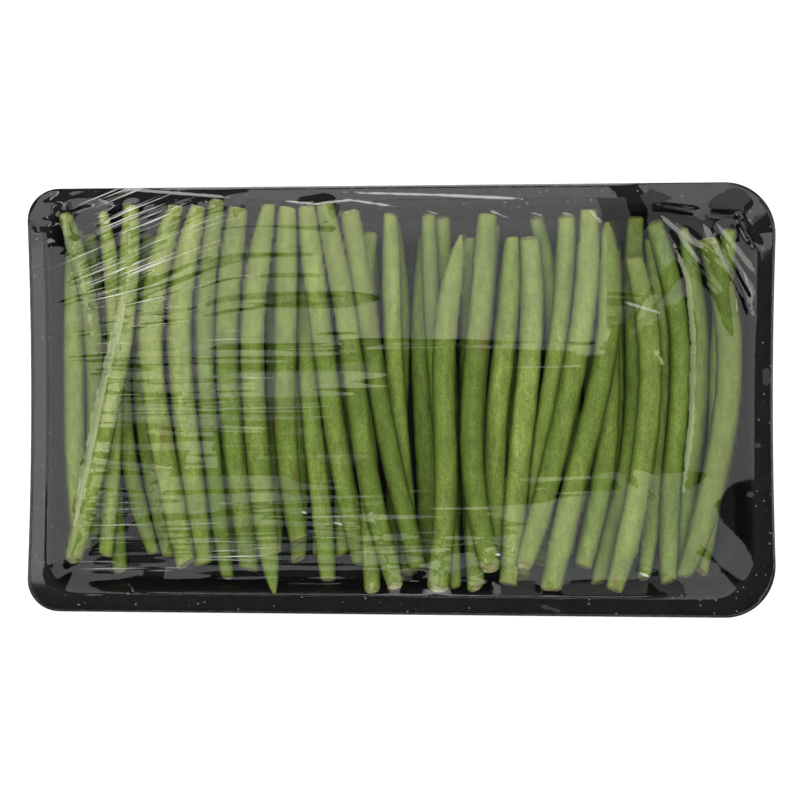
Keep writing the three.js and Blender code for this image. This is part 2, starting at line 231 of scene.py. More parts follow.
# The rings of a CAD bean, from its +Y end to its -Y end: centres and radii.
def ringsOf(nodeName):
    bm = bmesh.new()
    bm.from_mesh(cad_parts[nodeName].data)
    bmesh.ops.remove_doubles(bm, verts=bm.verts, dist=0.02 * mm)
    points = np.array(sorted(([*v.co] for v in bm.verts), key=lambda p: -p[1]))
    bm.free()
    # one ring's points lie closer along Y than two rings do
    breaks = np.nonzero(np.diff(points[:, 1]) < -podShape["ringGap"])[0] + 1
    rings = np.split(points, breaks)
    centres = np.array([ring.mean(0) for ring in rings])
    radii = np.array([np.linalg.norm(ring - c, axis=1).max() for ring, c in zip(rings, centres)])
    return centres, radii


# Smooth curves for a bean's middle line and its thickness, by the share of its length.
def podCurve(nodeName):
    centres, radii = ringsOf(nodeName)
    steps = np.linalg.norm(np.diff(centres, axis=0), axis=1)
    share = np.concatenate([[0], np.cumsum(steps)]) / steps.sum()
    line = [np.polynomial.Polynomial.fit(share, centres[:, i], 5) for i in range(3)]
    slope = [c.deriv() for c in line]
    return {"line": line, "slope": slope, "share": share, "radii": radii, "length": steps.sum()}


def straightPod(curve, sides, rings, rimBevel):
    thickness = curve["radii"].max()
    bm = bmesh.new()
    bmesh.ops.create_cone(
        bm, cap_ends=True, segments=sides, radius1=thickness, radius2=thickness, depth=curve["length"])
    uprights = [e for e in bm.edges if abs(e.verts[0].co.z - e.verts[1].co.z) > curve["length"] / 2]
    bmesh.ops.subdivide_edges(bm, edges=uprights, cuts=rings, use_grid_fill=True)
    rims = [e for f in bm.faces if len(f.verts) > 4 for e in f.edges]
    bmesh.ops.bevel(
        bm, geom=rims, offset=rimBevel, segments=4, profile=0.5, affect="EDGES", material=-1)
    cuts = [f for f in bm.faces if len(f.verts) > 4]
    inner = bmesh.ops.inset_individual(
        bm, faces=cuts, thickness=thickness * podShape["cutRim"], depth=-podShape["cutDish"])["faces"]
    for face in cuts + inner:
        face.material_index = 1
    return bm


# Bends the straight pod along its curve, and gives it its seeds' bulges, its seams and its cuts.
def bendPod(bm, curve, dice):
    length, thickness = curve["length"], curve["radii"].max()
    co = np.array([v.co for v in bm.verts])
    share = 0.5 - co[:, 2] / length
    along = share * length
    angle = np.arctan2(co[:, 1], co[:, 0])
    ends = [curve["radii"][0] / thickness, curve["radii"][-1] / thickness]
    fromEnd = np.minimum(along, length - along)
    middle = np.clip(fromEnd / podShape["smoothEnds"], 0, 1)
    pitch = podShape["seedPitch"] * dice.uniform(0.85, 1.15)
    phase = dice.uniform(0, 2 * math.pi)
    seeds = 2 * math.pi * along / pitch
    bulge = np.sin(seeds + phase) + 0.6 * np.sin(seeds / 2.7 + 2 * phase)
    seamAngle = dice.uniform(0, math.pi)
    fromSeam = np.mod(angle - seamAngle + math.pi / 2, math.pi) - math.pi / 2
    seam = np.exp(-(fromSeam / podShape["seamWidth"]) ** 2)
    size = np.interp(share, curve["share"], curve["radii"]) / thickness
    size *= 1 + middle * (podShape["bulge"] * bulge + podShape["seamLift"] * seam)
    size *= 1 + podShape["oval"] * np.cos(2 * (angle - seamAngle))
    for i, atEnd in enumerate([along, length - along]):
        nearEnd = np.clip(1 - atEnd / podShape["tipLength"], 0, 1)
        if ends[i] < podShape["tipShare"]:
            size *= 1 - podShape["tipNarrows"] * nearEnd ** 2
        turn = dice.uniform(0.15, 0.85) * math.pi
        slope = dice.uniform(*podShape["slants"][i]) * (-1 if i else 1)
        lift = slope * (co[:, 0] * math.cos(turn) + co[:, 1] * math.sin(turn))
        share = share + lift * size * nearEnd / length
    centre = np.array([c(share) for c in curve["line"]]).T
    ahead = np.array([c(np.clip(share, 0, 1)) for c in curve["slope"]]).T
    ahead /= np.linalg.norm(ahead, axis=1)[:, None]
    side = np.cross(ahead, [0, 0, 1])
    side /= np.linalg.norm(side, axis=1)[:, None]
    up = np.cross(side, ahead)
    place = centre + side * (co[:, 0] * size)[:, None] + up * (co[:, 1] * size)[:, None]
    layers = {name: bm.verts.layers.float.new(name) for name in ("fromEnd", "seam", "ripe")}
    ripe = dice.uniform(0, 1)
    for v, p, e, s in zip(bm.verts, place, fromEnd, seam):
        v.co = p
        v[layers["fromEnd"]] = e
        v[layers["seam"]] = s
        v[layers["ripe"]] = ripe


def makePod(number, curve, materials):
    dice = random.Random(100 + number)
    hidden = podShape["shownLow"] < number < podShape["firstShown"]
    sides, rings = [("sides", "rings"), ("hiddenSides", "hiddenRings")][hidden]
    bm = straightPod(curve, podShape[sides], podShape[rings], dice.uniform(*podShape["rimBevel"]))
    bendPod(bm, curve, dice)
    bmesh.ops.recalc_face_normals(bm, faces=bm.faces)
    pod = keepMesh(f"greenBean.{number:02d}", bm, materials)
    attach(pod, "root")
    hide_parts(f"bean_{number:02d}")


# Fresh green bean: a waxy skin with fine lengthwise mottling, paler towards the cut ends.
def beanSkinMaterial():
    material, tree = newMaterial("freshBeanSkin")
    at = addNode(tree, "TexCoord").outputs["Object"]
    alongPod = addNode(tree, "Mapping", {"Scale": (1, 0.22, 1)}, {"Vector": at}).outputs[0]
    shortened = addNode(tree, "Mapping", {"Scale": (1, 0.6, 1)}, {"Vector": at}).outputs[0]
    longer = addNode(tree, "Mapping", {"Scale": (1, 0.4, 1)}, {"Vector": at}).outputs[0]
    # blotches about 6 mm wide and 25 mm long
    blotch = addNode(tree, "TexNoise", {"Scale": 170, "Detail": 4, "Roughness": 0.6}, {"Vector": alongPod})
    ripe = addNode(tree, "Attribute", {"attribute_name": "ripe"})
    tone = addNode(tree, "Math", {"operation": "MULTIPLY_ADD", 1: 0.42},
                   {0: ripe.outputs["Fac"], 2: blotch.outputs[0]})
    tone = addNode(tree, "MapRange", {"From Min": 0.25, "From Max": 1.1}, {"Value": tone.outputs[0]})
    green = addNode(tree, "ValToRGB", {"stops": [
        (0.0, "#495c20"), (0.3, "#5b6f2a"), (0.6, "#6b7f35"), (0.85, "#7b8c40"), (1.0, "#8d9950"),
    ]}, {"Fac": tone.outputs[0]})
    # skin cells and fine hairs, 0.3 to 0.8 mm
    grain = addNode(tree, "TexNoise", {"Scale": 2100, "Detail": 3, "Roughness": 0.75}, {"Vector": shortened})
    grain = addNode(tree, "MapRange", {"From Min": 0.36, "From Max": 0.64, "To Min": 0.73, "To Max": 1.25},
                    {"Value": grain.outputs[0]})
    # mottling about 2 mm wide and 5 mm long
    mottle = addNode(tree, "TexNoise", {"Scale": 480, "Detail": 2, "Roughness": 0.6}, {"Vector": longer})
    mottle = addNode(tree, "MapRange", {"From Min": 0.35, "From Max": 0.65, "To Min": 0.84, "To Max": 1.16},
                     {"Value": mottle.outputs[0]})
    shade = addNode(tree, "Math", {"operation": "MULTIPLY"}, {0: grain.outputs[0], 1: mottle.outputs[0]})
    skin = addNode(tree, "VectorMath", {"operation": "SCALE"},
                   {0: green.outputs[0], "Scale": shade.outputs[0]})
    # the last few millimetres are paler and yellower
    fromEnd = addNode(tree, "Attribute", {"attribute_name": "fromEnd"})
    pale = addNode(tree, "MapRange", {"From Min": 0, "From Max": 5 * mm, "To Min": 0.32, "To Max": 0},
                   {"Value": fromEnd.outputs["Fac"]})
    skin = addNode(tree, "Mix", {"data_type": "RGBA", 7: linearColour("#93964f")},
                   {0: pale.outputs[0], 6: skin.outputs[0]})
    seam = addNode(tree, "Attribute", {"attribute_name": "seam"})
    seam = addNode(tree, "Math", {"operation": "MULTIPLY", 1: 0.35}, {0: seam.outputs["Fac"]})
    skin = addNode(tree, "Mix", {"data_type": "RGBA", 7: linearColour("#5d7a30")},
                   {0: seam.outputs[0], 6: skin.outputs[2]})
    # small brown scars
    scar = addNode(tree, "TexVoronoi", {"Scale": 75, "Randomness": 1.0}, {"Vector": alongPod})
    scar = addNode(tree, "MapRange", {"From Min": 0.05, "From Max": 0.1, "To Min": 0.6, "To Max": 0},
                   {"Value": scar.outputs["Distance"]})
    skin = addNode(tree, "Mix", {"data_type": "RGBA", 7: linearColour("#6b5c2c")},
                   {0: scar.outputs[0], 6: skin.outputs[2]})
    bump = addNode(tree, "Bump", {"Strength": 0.35, "Distance": 0.15 * mm}, {"Height": grain.outputs[0]})
    # painted shade: the flanks are darkened the further they face away from up, standing in for the shade
    # between the beans
    faces = addNode(tree, "SeparateXYZ", {}, {0: addNode(tree, "NewGeometry").outputs["Normal"]})
    paintedFlankShade = addNode(tree, "MapRange", {"From Min": 0.82, "From Max": 0.1, "To Max": 0.78},
                    {"Value": faces.outputs[2]})
    skin = addNode(tree, "Mix", {"data_type": "RGBA", 7: linearColour("#334513")},
                   {0: paintedFlankShade.outputs[0], 6: skin.outputs[2]})
    shader = addNode(tree, "BsdfPrincipled", {"Roughness": 0.5, "IOR": 1.28},
                     {"Base Color": skin.outputs[2], "Normal": bump.outputs[0]})
    addNode(tree, "OutputMaterial", {}, {"Surface": shader.outputs[0]})
    return material


# The cut end of a bean: pale flesh that has dried and browned in patches.
def beanCutMaterial():
    material, tree = newMaterial("trimmedBeanFlesh")
    at = addNode(tree, "TexCoord").outputs["Object"]
    noise = addNode(tree, "TexNoise", {"Scale": 700, "Detail": 3}, {"Vector": at})
    flesh = addNode(tree, "ValToRGB", {"stops": [(0.3, "#7b6a3c"), (0.5, "#a8a268"), (0.7, "#c6c49a")]},
                    {"Fac": noise.outputs[0]})
    bump = addNode(tree, "Bump", {"Strength": 0.6, "Distance": 0.3 * mm}, {"Height": noise.outputs[0]})
    shader = addNode(tree, "BsdfPrincipled", {"Roughness": 0.6},
                     {"Base Color": flesh.outputs[0], "Normal": bump.outputs[0]})
    addNode(tree, "OutputMaterial", {}, {"Surface": shader.outputs[0]})
    return material


podMaterials = [beanSkinMaterial(), beanCutMaterial()]
podCurves = {number: podCurve(f"bean_{number:02d}") for number in range(1, 57)}
for number, curve in podCurves.items():
    makePod(number, curve, podMaterials)
print("beans laid")

# ---- foam tray
trayShape = {
    "stepsX": 140,
    "stepsY": 80,
    # inset from the lip's edge and height in millimetres, from the cavity's floor over the lip to underneath
    "sections": [
        (10.8, 3.85), (10.3, 4.0), (9.8, 4.4), (9.45, 5.2), (9.1, 6.6), (8.4, 12), (7.7, 18), (7.3, 19.4),
        (7.0, 20.1), (6.5, 20.6), (5.7, 20.85), (3.5, 20.9), (1.5, 20.85), (0.7, 20.65), (0.2, 20.2),
        (0, 19.6), (0, 18.6), (0.15, 17.9), (0.6, 17.5), (1.4, 17.35), (3.4, 17.35), (4.2, 17.0), (4.7, 16.2),
        (5.2, 12), (5.9, 6), (6.3, 3.6), (6.9, 2.2), (7.9, 1.2), (9.2, 0.9), (10.5, 0.85),
    ],
}


def makeTray(material):
    bm = bmesh.new()
    bmesh.ops.create_grid(bm, x_segments=1, y_segments=1, size=1)
    for axis, steps in ((0, trayShape["stepsX"]), (1, trayShape["stepsY"])):
        sides = [e for e in bm.edges if len(e.link_faces[0].verts) >= 4
                 and abs(e.verts[0].co[axis] - e.verts[1].co[axis]) > 1.5]
        bmesh.ops.subdivide_edges(bm, edges=sides, cuts=steps - 1)
    growRings(bm, len(trayShape["sections"]) - 1)
    insets, heights = np.array(trayShape["sections"]).T * mm
    co = np.array([v.co for v in bm.verts])
    level = np.rint(-co[:, 2]).astype(int)
    inset = insets[level]
    x, y = planPoints(co[:, 0] * (plan["length"] / 2 - inset), co[:, 1] * (plan["width"] / 2 - inset), inset)
    for v, px, py, pz in zip(bm.verts, x, y, heights[level]):
        v.co = (px, py, pz)
    bmesh.ops.recalc_face_normals(bm, faces=bm.faces)
    tray = keepMesh("foamTray", bm, [material])
    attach(tray, "root")
    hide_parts("foam_tray")


# Extrudes a flat patch's edge ring by ring, one unit down each time, and closes it underneath.
def growRings(bm, count):
    edges = [e for e in bm.edges if e.is_boundary]
    for _ in range(count):
        grown = bmesh.ops.extrude_edge_only(bm, edges=edges)["geom"]
        bmesh.ops.translate(bm, verts=[g for g in grown if isinstance(g, bmesh.types.BMVert)], vec=(0, 0, -1))
        edges = [g for g in grown if isinstance(g, bmesh.types.BMEdge) and g.is_boundary]
    bmesh.ops.holes_fill(bm, edges=edges, sides=0)


# Black expanded polystyrene: closed cells about 1 mm across under a thin moulded skin, with pits where they
# burst.
def foamMaterial():
    material, tree = newMaterial("expandedPolystyrene")
    at = addNode(tree, "TexCoord").outputs["Object"]
    cells = addNode(tree, "TexVoronoi", {"feature": "SMOOTH_F1", "Scale": 850, "Smoothness": 0.4},
                    {"Vector": at})
    patches = addNode(tree, "TexNoise", {"Scale": 130, "Detail": 5, "Roughness": 0.7}, {"Vector": at})
    pits = addNode(tree, "TexVoronoi", {"Scale": 420, "Randomness": 1.0}, {"Vector": at})
    pits = addNode(tree, "MapRange", {"From Min": 0.1, "From Max": 0.24, "To Min": 0, "To Max": 1},
                   {"Value": pits.outputs["Distance"]})
    height = addNode(tree, "Math", {"operation": "MULTIPLY_ADD", 1: 0.35},
                     {0: cells.outputs["Distance"], 2: pits.outputs[0]})
    tone = addNode(tree, "ValToRGB", {"stops": [(0.35, "#0b0b0c"), (0.6, "#131314"), (0.8, "#1c1c1d")]},
                   {"Fac": patches.outputs[0]})
    # painted glints: pale flecks 0.4 mm across on the lip, standing in for light caught by the foam's glossy
    # dimples
    paintedGlint = addNode(tree, "TexVoronoi", {"Scale": 480, "Randomness": 1.0}, {"Vector": at})
    chosen = addNode(tree, "SeparateXYZ", {}, {0: paintedGlint.outputs["Color"]})
    chosen = addNode(tree, "Math", {"operation": "GREATER_THAN", 1: 0.5}, {0: chosen.outputs[0]})
    paintedGlint = addNode(tree, "MapRange", {"From Min": 0.16, "From Max": 0.1, "To Max": 0.7},
                    {"Value": paintedGlint.outputs["Distance"]})
    paintedGlint = addNode(tree, "Math", {"operation": "MULTIPLY"}, {0: paintedGlint.outputs[0], 1: chosen.outputs[0]})
    lip = addNode(tree, "SeparateXYZ", {}, {0: at})
    lip = addNode(tree, "MapRange", {"From Min": 18 * mm, "From Max": 20 * mm}, {"Value": lip.outputs[2]})
    paintedGlint = addNode(tree, "Math", {"operation": "MULTIPLY"}, {0: paintedGlint.outputs[0], 1: lip.outputs[0]})
    tone = addNode(tree, "Mix", {"data_type": "RGBA", 7: linearColour("#8a8a8c")},
                   {0: paintedGlint.outputs[0], 6: tone.outputs[0]})
    bump = addNode(tree, "Bump", {"Strength": 0.5, "Distance": 0.35 * mm}, {"Height": height.outputs[0]})
    rough = addNode(tree, "MapRange", {"From Min": 0.3, "From Max": 0.7, "To Min": 0.35, "To Max": 0.6},
                    {"Value": patches.outputs[0]})
    shader = addNode(tree, "BsdfPrincipled", {"IOR": 1.2}, {
        "Base Color": tone.outputs[2], "Roughness": rough.outputs[0], "Normal": bump.outputs[0]})
    addNode(tree, "OutputMaterial", {}, {"Surface": shader.outputs[0]})
    return material


makeTray(foamMaterial())
print("tray moulded")

# ---- stretch film
filmShape = {
    "stepsX": 280,
    "stepsY": 280,
    "edgeInset": 0.35 * mm,
    "lipHeight": 21.25 * mm,
    "lipInset": 5.9 * mm,
    "clearance": 0.22 * mm,  # over the beans
    "crown": 29.3 * mm,  # the trapped air's height over the middle of the tray
    "crownFall": 0.76,  # per metre, along Y
    "crownEnds": (78 * mm, 66 * mm),  # where it has dropped by crownDrop more, along X and Y
    "crownDrop": 4 * mm,
    "stuckTo": 50 * mm,  # the film sticks to the lip up to this y, and folds freely behind it
    "startHeight": 27 * mm,
    "rounds": 900,
    "overshoot": 1.9,  # of each round's step, so that the film settles sooner
    "touches": (12 * mm, 3 * mm),  # from this gap down to this one, the film takes up a bean's wet shine
    "frontDull": 0.6,  # the share of that shine it loses over the beans' front ends
    "frontEnds": (42 * mm, 50 * mm),
    "lipTouch": 0.34,  # the share it has on the lip and the walls
    "lipReach": (20 * mm, 12 * mm),
    # the lists below are in millimetres. Stretch bands: width, length, height
    "bands": [(9, 80, 0.5), (4.1, 50, 0.28), (2.1, 34, 0.16), (1.2, 22, 0.05)],
    "fineLines": 110,
    "fineLength": (7, 26),
    "fineHeight": (0.06, 0.22),
    "fineWidth": 0.45,
    # from the lip's edge down the wall and across the underside: inset from the lip's edge, height
    "sections": [
        (0.0, 20.75), (-0.3, 20.2), (-0.42, 19.3), (-0.42, 18.4), (-0.2, 17.5), (0.5, 16.4), (2.1, 13.6),
        (4.3, 9.8), (6.5, 6.0), (8.3, 2.8), (9.3, 1.2), (10.2, 0.5), (11.4, 0.3), (16, 0.3), (30, 0.3),
        (50, 0.3),
    ],
    # creases: start, end, half width, height
    "creases": [
        # the fan at the back left corner
        ((-106, 41), (-54, 61.5), 0.65, 0.34),
        ((-102, 36), (-60, 55), 0.6, 0.3),
        ((-104, 32), (-66, 50), 0.75, 0.4),
        ((-92, 50), (-56, 62.5), 0.6, 0.3),
        ((-98, 38), (-70, 51), 0.55, 0.26),
        ((-95, 33), (-79, 41.5), 0.55, 0.32),
        ((-91, 30), (-71, 39), 0.55, 0.32),
        ((-106, 27), (-78, 36), 0.8, 0.32),
        ((-85, 25.3), (-60, 27.5), 0.55, 0.3),
        ((-102, 19), (-74, 22), 0.7, 0.26),
        ((-85, 6), (-53, 6.3), 0.55, 0.26),
        ((-38, 15), (-17, 16), 0.5, 0.18),
        ((-104, 12), (-76, 13), 0.7, 0.24),
        # the film bunched at that corner
        ((-111, 58), (-88, 60.5), 1.0, 0.28),
        ((-109, 54), (-90, 59), 0.8, -0.28),
        ((-106, 50), (-92, 58.5), 0.8, 0.3),
        ((-104, 52), (-98, 61), 0.9, 0.25),
        # the fan at the back right corner
        ((80, 54), (104, 34), 0.9, 0.42),
        ((77, 51), (96, 30), 0.9, 0.42),
        ((92, 50), (105, 27), 0.9, 0.42),
        ((96, 44), (105, 22), 0.8, 0.36),
        # the fold above it
        ((74, 58), (91, 55.5), 1.2, -0.5),
        ((88, 55.5), (102, 55), 1.0, 0.6),
        ((99, 56), (106, 44), 1.1, -0.5),
        # along the front
        ((-91, -28), (-64, -29.5), 0.55, 0.28),
        ((-100, -18), (-66, -21), 0.6, 0.24),
        ((-72, -8), (-36, -9), 0.55, 0.2),
        ((-30, -39), (-12, -40.5), 0.5, 0.36),
        ((-24, -36.5), (-12, -37), 0.5, 0.32),
        ((26, -44), (34, -46), 0.5, 0.34),
        ((69, -49), (76, -52), 0.5, 0.4),
    ],
    # where the film hangs from the beans that stand highest: the way along y, x, reach, height
    "ridges": [
        ((-40, -6, 33, 46), (-97.5, -90, -81.5, -80.5), 3.0, 0.75),
        ((14, 36, 57), (-90.5, -96.5, -102), 2.0, 0.4),
        ((-30, -6, 21, 54), (82.5, 86, 88, 78), 6.0, 1.2),
        ((14, 37, 50), (99.5, 97.5, 92), 2.4, 0.5),
    ],
    # painted highlights, a pale layer put where the film catches the light on its folds and over the beans:
    # the way, the half widths at its start and end, how white, and how ragged its edge
    "highlightMarks": [
        # painted highlight strips on the beans that hold the film up
        (((-81, 34), (-84.5, 21), (-90, -1.5), (-94, -21), (-97, -37)), (1.3, 1.1), 0.25, 0.4),
        (((-101, 55), (-96, 41), (-91.5, 18)), (0.7, 0.5), 0.18, 0.5),
        (((80.5, 46), (84.7, 36), (86.3, 17.5), (85.8, -6), (83.3, -27)), (0.75, 0.85), 0.22, 0.25),
        (((75, 14.5), (77.5, 10.5)), (0.9, 0.6), 0.25, 0.6),
        # painted highlights on the fold along the back, and over the beans' ends
        (((-17.5, 61.6), (11, 60.8), (36, 59.6)), (0.25, 0.5), 0.32, 0.1),
        (((-85, 63), (-51, 60)), (0.5, 0.4), 0.25, 0.1),
        (((-37, 59.2), (-25.5, 58), (-15.5, 59.3), (0, 57)), (0.35, 0.35), 0.3, 0.1),
        (((7, 56.2), (10.4, 55)), (0.35, 0.3), 0.2, 0.2),
        (((26, 56), (31.5, 53.9)), (0.4, 0.3), 0.22, 0.2),
        (((37.5, 55.7), (42, 54.5)), (0.35, 0.3), 0.16, 0.2),
        (((47.5, 55.6), (51, 54.5)), (0.4, 0.3), 0.18, 0.2),
        (((55.4, 56.4), (59, 52.4)), (0.45, 0.4), 0.2, 0.1),
        # painted glints on the fan at the back right corner
        (((76.5, 55), (82, 50), (89.6, 45)), (0.6, 0.9), 0.14, 0),
        (((81.5, 50), (88.4, 40.5)), (0.65, 0.6), 0.14, 0),
        (((89.6, 52), (97.3, 38)), (1.0, 0.7), 0.13, 0),
        (((93.4, 52.5), (105, 38)), (0.65, 0.9), 0.12, 0),
        (((97, 44), (105, 32)), (0.6, 0.65), 0.12, 0),
        (((100, 39), (105, 30.5)), (0.6, 0.6), 0.11, 0),
        (((65.5, 29), (77, 25.6)), (0.45, 0.4), 0.2, 0),
        # painted glints along the front, over the beans' ends
        (((-29.5, -33), (-28, -33.4)), (0.35, 0.25), 0.45, 0.1),
        (((-20, -36.2), (-17.5, -36.8)), (0.3, 0.25), 0.45, 0.1),
        (((27.5, -45.6), (29.2, -45.6)), (0.3, 0.25), 0.5, 0.1),
        (((32, -44.2), (33.2, -44.6)), (0.3, 0.25), 0.5, 0.1),
        (((70, -51), (73.3, -52.4)), (0.4, 0.3), 0.5, 0.2),
        # faint painted sheen where the film sticks flat to the lip
        (((105.8, -13), (105.9, -14)), (1.0, 0.9), 0.035, 0.2),
        (((103.5, -27.4), (103.7, -28.8)), (1.1, 0.9), 0.04, 0.2),
        (((108.2, 9.5), (108.4, 4.5)), (1.2, 1.0), 0.03, 0.3),
        (((41.5, -61.2), (47.5, -63)), (0.6, 0.4), 0.03, 0.2),
    ],
    "highlightMarksOnBeans": 4,  # this many of the painted highlight marks, the first ones, take up some of a bean's green
}


# The height of the beans' upper sides over each point, or far below where there is none.
def podHeights(x, y):
    heights = np.full(x.shape, -1.0)
    for curve in podCurves.values():
        share = np.linspace(0, 1, 60)
        cx, cy, cz = [c(share) for c in curve["line"]]
        radius = np.interp(share, curve["share"], curve["radii"])
        lean = np.cos(np.arctan2(np.gradient(cx), -np.gradient(cy)))
        order = np.argsort(cy)
        inside = (y > cy.min()) & (y < cy.max())
        py = y[inside]
        px, pz, pr, pl = [np.interp(py, cy[order], values[order]) for values in (cx, cz, radius, lean)]
        across = (x[inside] - px) * pl
        top = pz + np.sqrt(np.maximum(pr ** 2 - across ** 2, 0))
        top = np.where(np.abs(across) < pr, top + filmShape["clearance"], -1.0)
        heights[inside] = np.maximum(heights[inside], top)
    return heights


# Pulls the film tight over what holds it up: each point drops to the mean of its neighbours, but not into it.
def pullTight(support, clings, stepX, stepY):
    free = ~clings
    free[0, :] = free[-1, :] = free[:, 0] = free[:, -1] = False
    z = np.where(free, np.maximum(support, filmShape["startHeight"]), filmShape["lipHeight"])
    rows, columns = np.indices(z.shape)
    turns = [free & ((rows + columns) % 2 == k) for k in (0, 1)]
    weightX = stepY ** 2 / (stepX ** 2 + stepY ** 2) / 2
    weightY = 0.5 - weightX
    for _ in range(filmShape["rounds"]):
        for turn in turns:
            mean = np.zeros_like(z)
            mean[1:-1, 1:-1] = weightY * (z[:-2, 1:-1] + z[2:, 1:-1]) + weightX * (z[1:-1, :-2] + z[1:-1, 2:])
            moved = np.maximum(z + filmShape["overshoot"] * (mean - z), support)
            z = np.where(turn, moved, z)
    return z


# Smooth random waves: values on a lattice, eased from one to the next.
def waves(a, b, seed):
    table = np.random.RandomState(seed).uniform(-1, 1, (512, 512))
    i, j = np.floor(a).astype(int), np.floor(b).astype(int)
    s, t = a - i, b - j
    s, t = s * s * (3 - 2 * s), t * t * (3 - 2 * t)
    corners = [table[(i + p) % 512, (j + q) % 512] for p, q in ((0, 0), (1, 0), (0, 1), (1, 1))]
    near = corners[0] * (1 - s) + corners[1] * s
    far = corners[2] * (1 - s) + corners[3] * s
    return near * (1 - t) + far * t


def between(value, low, high):
    s = np.clip((value - low) / (high - low), 0, 1)
    return s * s * (3 - 2 * s)


# Lines of equal drift run with the pull, which climbs at the back left corner and falls at the back right.
def driftOf(x, y):
    left = np.hypot(x + 52, 5) - (x + 52)
    right = np.hypot(x - 72, 5) + (x - 72)
    climb = 0.21 * left * between(y, 12, 36) - 0.02 * (x + 20) * between(-y, 15, 40)
    return y + climb + 0.4 * right * between(y, 12, 40)


# A band at the left end, in front of the middle, where the film lies quiet.
def quietAt(x, y):
    return between(-y, 6, 11) * between(y, -27, -22) * between(-x, 15, 30)


# How much the film is drawn into lines: strongly at the -X end and less along the front.
def pullOf(x, y):
    leftEnd = between(-x, 0, 45)
    front = between(-y, 24, 40) * between(60 - x, 0, 60)
    calm = (1 - 0.9 * between(x, 90, 98)) * (1 - between(-x, 88, 97)) * (1 - 0.9 * between(-y, 50, 56))
    return np.clip(0.08 + leftEnd + 0.7 * front, 0, 1) * calm * (1 - 0.7 * quietAt(x, y))


# The stretch lines' lift off the pulled film: bands of four widths, fine lines, and the creases.
def stretchLines(x, y):
    drift, pull = driftOf(x, y), pullOf(x, y)
    lift = np.zeros_like(x)
    for seed, (wide, long, height) in enumerate(filmShape["bands"]):
        wave = waves(drift / wide + 40, x / long + 9, seed)
        lift += height * wave * pull
    dice = random.Random(7)
    for _ in range(filmShape["fineLines"]):
        x0, d0 = dice.uniform(-108, 80), dice.uniform(-62, 62)
        long = dice.uniform(*filmShape["fineLength"])
        height = dice.uniform(*filmShape["fineHeight"]) * dice.choice((-1, 1))
        fade = between(1 - np.abs(x - x0) / long, 0, 0.6)
        across = (drift - d0 - 0.02 * (x - x0)) / filmShape["fineWidth"]
        lift += height * fade * pull * np.exp(-across ** 2)
    for yLine, xLine, reach, height in filmShape["ridges"]:
        across = np.hypot(x - np.interp(y, yLine, xLine), 0.5)
        fade = between(y, yLine[0], yLine[0] + 9) * between(yLine[-1] - y, 0, 9)
        lift += height * fade * np.exp(-across / reach)
    for (x0, y0), (x1, y1), wide, height in filmShape["creases"]:
        reach = math.hypot(x1 - x0, y1 - y0)
        along = ((x - x0) * (x1 - x0) + (y - y0) * (y1 - y0)) / reach ** 2
        across = ((x - x0) * (y1 - y0) - (y - y0) * (x1 - x0)) / reach
        fade = between(along, 0, 0.25) * between(1 - along, 0, 0.25)
        lift += height * fade * np.exp(-(across / wide) ** 2)
    return lift


# How far inside a painted highlight mark each point lies, how white that painted highlight is, and whether it
# lies on a bean.
def highlightMarksAt(x, y):
    inside, white, green = np.full(x.shape, -9.0), np.zeros(x.shape), np.zeros(x.shape)
    for number, (points, (wide0, wide1), whiteness, ragged) in enumerate(filmShape["highlightMarks"]):
        legs = [math.dist(a, b) for a, b in zip(points, points[1:])]
        done = 0
        for (x0, y0), (x1, y1), leg in zip(points, points[1:], legs):
            share = np.clip(((x - x0) * (x1 - x0) + (y - y0) * (y1 - y0)) / leg ** 2, 0, 1)
            along = (done + share * leg) / sum(legs)
            wide = (wide0 + (wide1 - wide0) * along) * np.minimum(1, 0.3 + 5 * np.minimum(along, 1 - along))
            wide = wide + ragged * waves(y / 1.3, x / 2 + 70, 11)
            edge = wide - np.hypot(x - x0 - share * (x1 - x0), y - y0 - share * (y1 - y0))
            white = np.where(edge > inside, whiteness, white)
            green = np.where(edge > inside, number < filmShape["highlightMarksOnBeans"], green)
            inside = np.maximum(inside, edge)
            done += leg
    return inside, white, green


# How thickly the painted highlight hair lines lie: most in the fan at the back left corner.
def hairHighlightsOf(x, y):
    fan = between(-x, 50, 66) * between(y, 20, 32)
    front = between(-y, 22, 40) * between(60 - x, 0, 60)
    calm = (1 - 0.7 * between(-x, 95, 102)) * (1 - 0.8 * between(-y, 48, 54)) * (1 - 0.6 * quietAt(x, y))
    return np.clip(0.52 * fan + 0.35 * between(-x, -10, 60) + 0.25 * front, 0, 1) * calm


